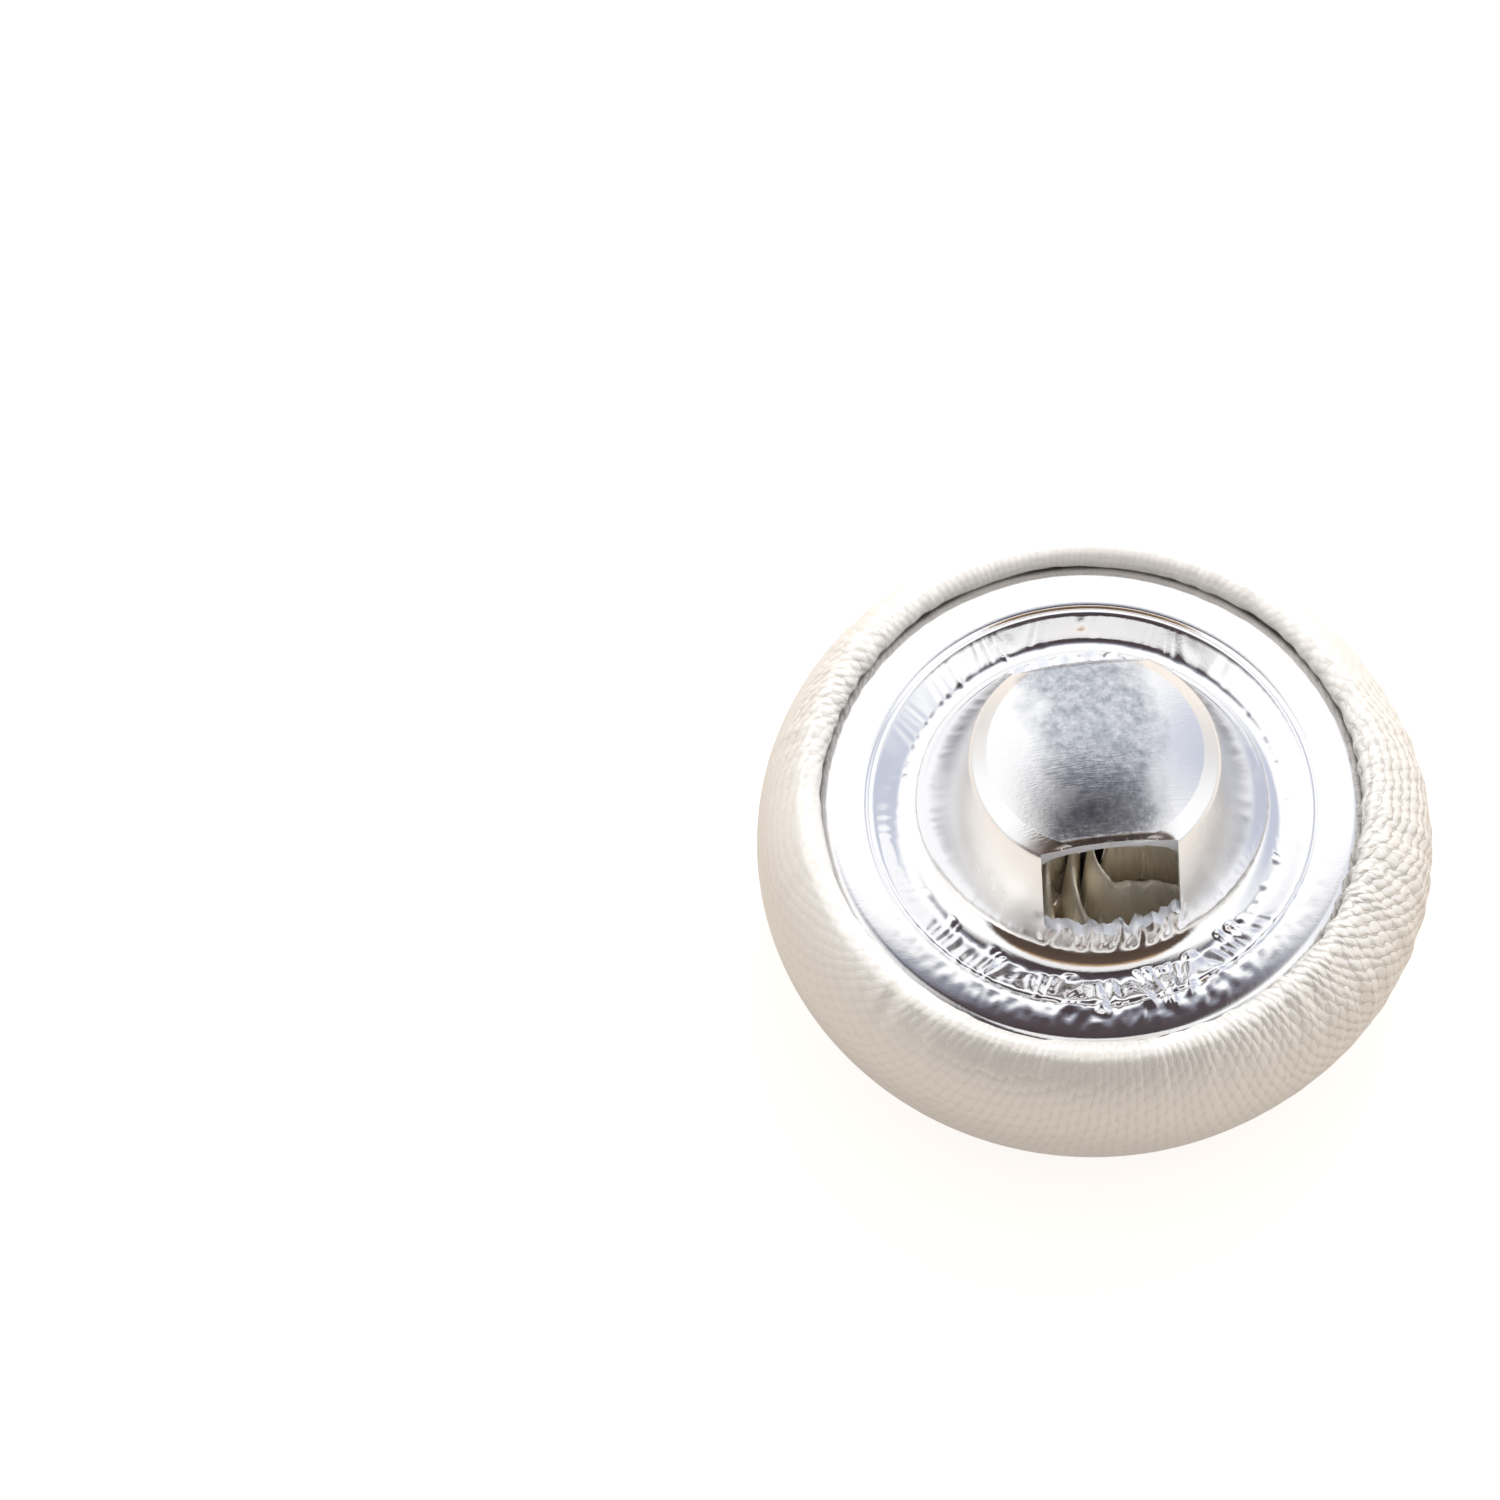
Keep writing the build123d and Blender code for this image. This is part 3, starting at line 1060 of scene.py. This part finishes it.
# What the metal reflects. Directions are in the camera's frame: right, far and up
sky_side = (0.10, 0.45, 0.89)
sky_bright = (0.84, 0.84, 0.86, 1)
sky_dim = (0.30, 0.26, 0.215, 1)
sky_range = (-0.5, 0.9)     # how far a direction looks that way where the sky is dim, and bright
blue_side = (0.657, 0.469, 0.592)
blue_spread = (30, 12)      # degrees from it at which the blue begins, and is full
blue_colour = (0.60, 0.63, 0.74, 1)
beige_horizon = (0.70, 0.67, 0.63, 1)
horizon_height = (0.04, 0.26)       # between which the beige turns white
white_side = (1.1, 1.1, 1.1, 1)     # over the horizon
arch_half_width = (14, 26)  # degrees off the middle at which the arch fades, and is gone
near_spread = 2.4           # how much the dark arch widens towards the near side
near_spread_start = 0.4
# Colours in the arch, by degrees from the far horizon over the top to the near one
studio_arch = (
    (0, (0.30, 0.30, 0.32)),
    (12, (0.46, 0.46, 0.50)),
    (20, (1.1, 1.1, 1.1)),
    (66, (1.1, 1.1, 1.1)),
    (74, (0.30, 0.31, 0.37)),
    (82, (0.09, 0.07, 0.08)),
    (102, (0.05, 0.035, 0.035)),
    (105, (0.85, 0.85, 0.86)),
    (115, (0.98, 0.95, 0.92)),
    (121, (0.50, 0.32, 0.18)),
    (128, (0.11, 0.075, 0.055)),
    (180, (0.07, 0.045, 0.035)),
)


def facing(nodes, direction, side):
    """How far a direction looks towards a side that is given in the camera's frame."""
    around = radians(camera_azimuth)
    right, far, up = side
    x = right * cos(around) - far * sin(around)
    y = right * sin(around) + far * cos(around)
    node = nodes.add("ShaderNodeVectorMath", {0: direction, 1: (x, y, up)}, operation="DOT_PRODUCT")
    return node.outputs["Value"]


def arch_colour(nodes, far, up):
    """Colour of the arch in a direction, from how far it looks to the far side and up."""
    arch = nodes.add("ShaderNodeValToRGB")
    nodes.join(nodes.math("DIVIDE", nodes.math("ARCTAN2", up, far), pi), arch.inputs[0])
    stops = arch.color_ramp.elements
    for place, colour in studio_arch[1:-1]:
        stops.new(place / 180).color = colour + (1,)
    stops[0].color = studio_arch[0][1] + (1,)
    stops[-1].color = studio_arch[-1][1] + (1,)
    return arch.outputs[0]


def studio_colour(nodes, direction):
    """What the metal reflects: white, with a dark arch over the middle and a blue side."""
    right = facing(nodes, direction, (1, 0, 0))
    far = facing(nodes, direction, (0, 1, 0))
    up = facing(nodes, direction, (0, 0, 1))
    sides = nodes.mix(nodes.scaled(up, *horizon_height), beige_horizon, white_side)
    blue = nodes.scaled(facing(nodes, direction, blue_side), *np.cos(np.radians(blue_spread)))
    sides = nodes.mix(blue, sides, blue_colour)
    nearer = nodes.math("MINIMUM", nodes.plus(far, near_spread_start), 0.0)
    off_middle = nodes.plus(nodes.math("ABSOLUTE", right), nodes.times(nearer, near_spread))
    middle = nodes.scaled(off_middle, *np.sin(np.radians(arch_half_width)), 1.0, 0.0)
    return nodes.mix(middle, sides, arch_colour(nodes, far, up))


def make_world():
    """White to the camera, a sky that fades and warms towards the near side as light."""
    world = bpy.data.worlds.new("studio")
    bpy.context.scene.world = world
    world.use_nodes = True
    nodes = Nodes(world)
    direction = nodes.add("ShaderNodeTexCoord").outputs["Generated"]
    brightness = nodes.scaled(facing(nodes, direction, sky_side), *sky_range)
    sky = nodes.mix(brightness, sky_dim, sky_bright)
    path = nodes.add("ShaderNodeLightPath").outputs
    seen = nodes.mix(path["Is Glossy Ray"], sky, studio_colour(nodes, direction))
    seen = nodes.mix(path["Is Camera Ray"], seen, white)
    nodes.join(seen, nodes.tree.nodes["Background"].inputs["Color"])


def floor_material():
    """White paper that shows white to the camera and keeps the object's shadow."""
    material = new_material("white_paper")
    nodes = Nodes(material)
    path = nodes.add("ShaderNodeLightPath").outputs
    to_camera = nodes.times(path["Is Camera Ray"], paper_glow)
    glow = nodes.plus(to_camera, nodes.times(path["Is Glossy Ray"], paper_glow_in_metal))
    nodes.shade(
        Base_Color=paper_colour,
        Roughness=0.9,
        Emission_Color=white,
        Emission_Strength=glow,
    )
    return material


def make_floor():
    """A large white floor under the button."""
    half = floor_half_width
    corners = [(-half, -half, 0), (half, -half, 0), (half, half, 0), (-half, half, 0)]
    floor = object_from("floor", corners, [(0, 1, 2, 3)], smooth=False)
    wear(floor, floor_material())


def put_lamp(data, place, target):
    """Stands a lamp that metal doesn't reflect at a place, aimed at a target in millimetres."""
    lamp = bpy.data.objects.new(data.name, data)
    lamp.visible_glossy = False
    lamp.location = Vector(place) * MM
    aim = Vector(target) - Vector(place)
    lamp.rotation_euler = aim.to_track_quat("-Z", "Y").to_euler()
    bpy.context.scene.collection.objects.link(lamp)


def make_top_lamp():
    """A soft square lamp over the far side."""
    data = bpy.data.lights.new("top_lamp", "AREA")
    data.size = top_lamp_size * MM
    data.energy = top_lamp_power
    put_lamp(data, top_lamp_place, top_lamp_target)


def make_window_beam():
    """A narrow beam through the far window, onto the tucked cloth inside."""
    data = bpy.data.lights.new("window_beam", "SPOT")
    data.spot_size = radians(beam_angle)
    data.spot_blend = beam_blend
    data.shadow_soft_size = beam_lamp_size * MM
    data.energy = beam_power
    put_lamp(data, beam_place, beam_target)


def light_the_stage():
    """A white floor, the studio round it, a lamp over the far side and a beam from behind."""
    make_floor()
    make_world()
    make_top_lamp()
    make_window_beam()


def main():
    bpy.context.scene.view_settings.view_transform = "Standard"
    make_camera()
    light_the_stage()

    cover, cut_size = make_satin_cover()
    wear(cover, satin_material())
    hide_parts("fabric_cover")
    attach(cover, "root")

    back = make_pressed_back()
    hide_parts("back_plate")
    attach(back, "root")

    wear(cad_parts["front_shell"], cap_material())


main()
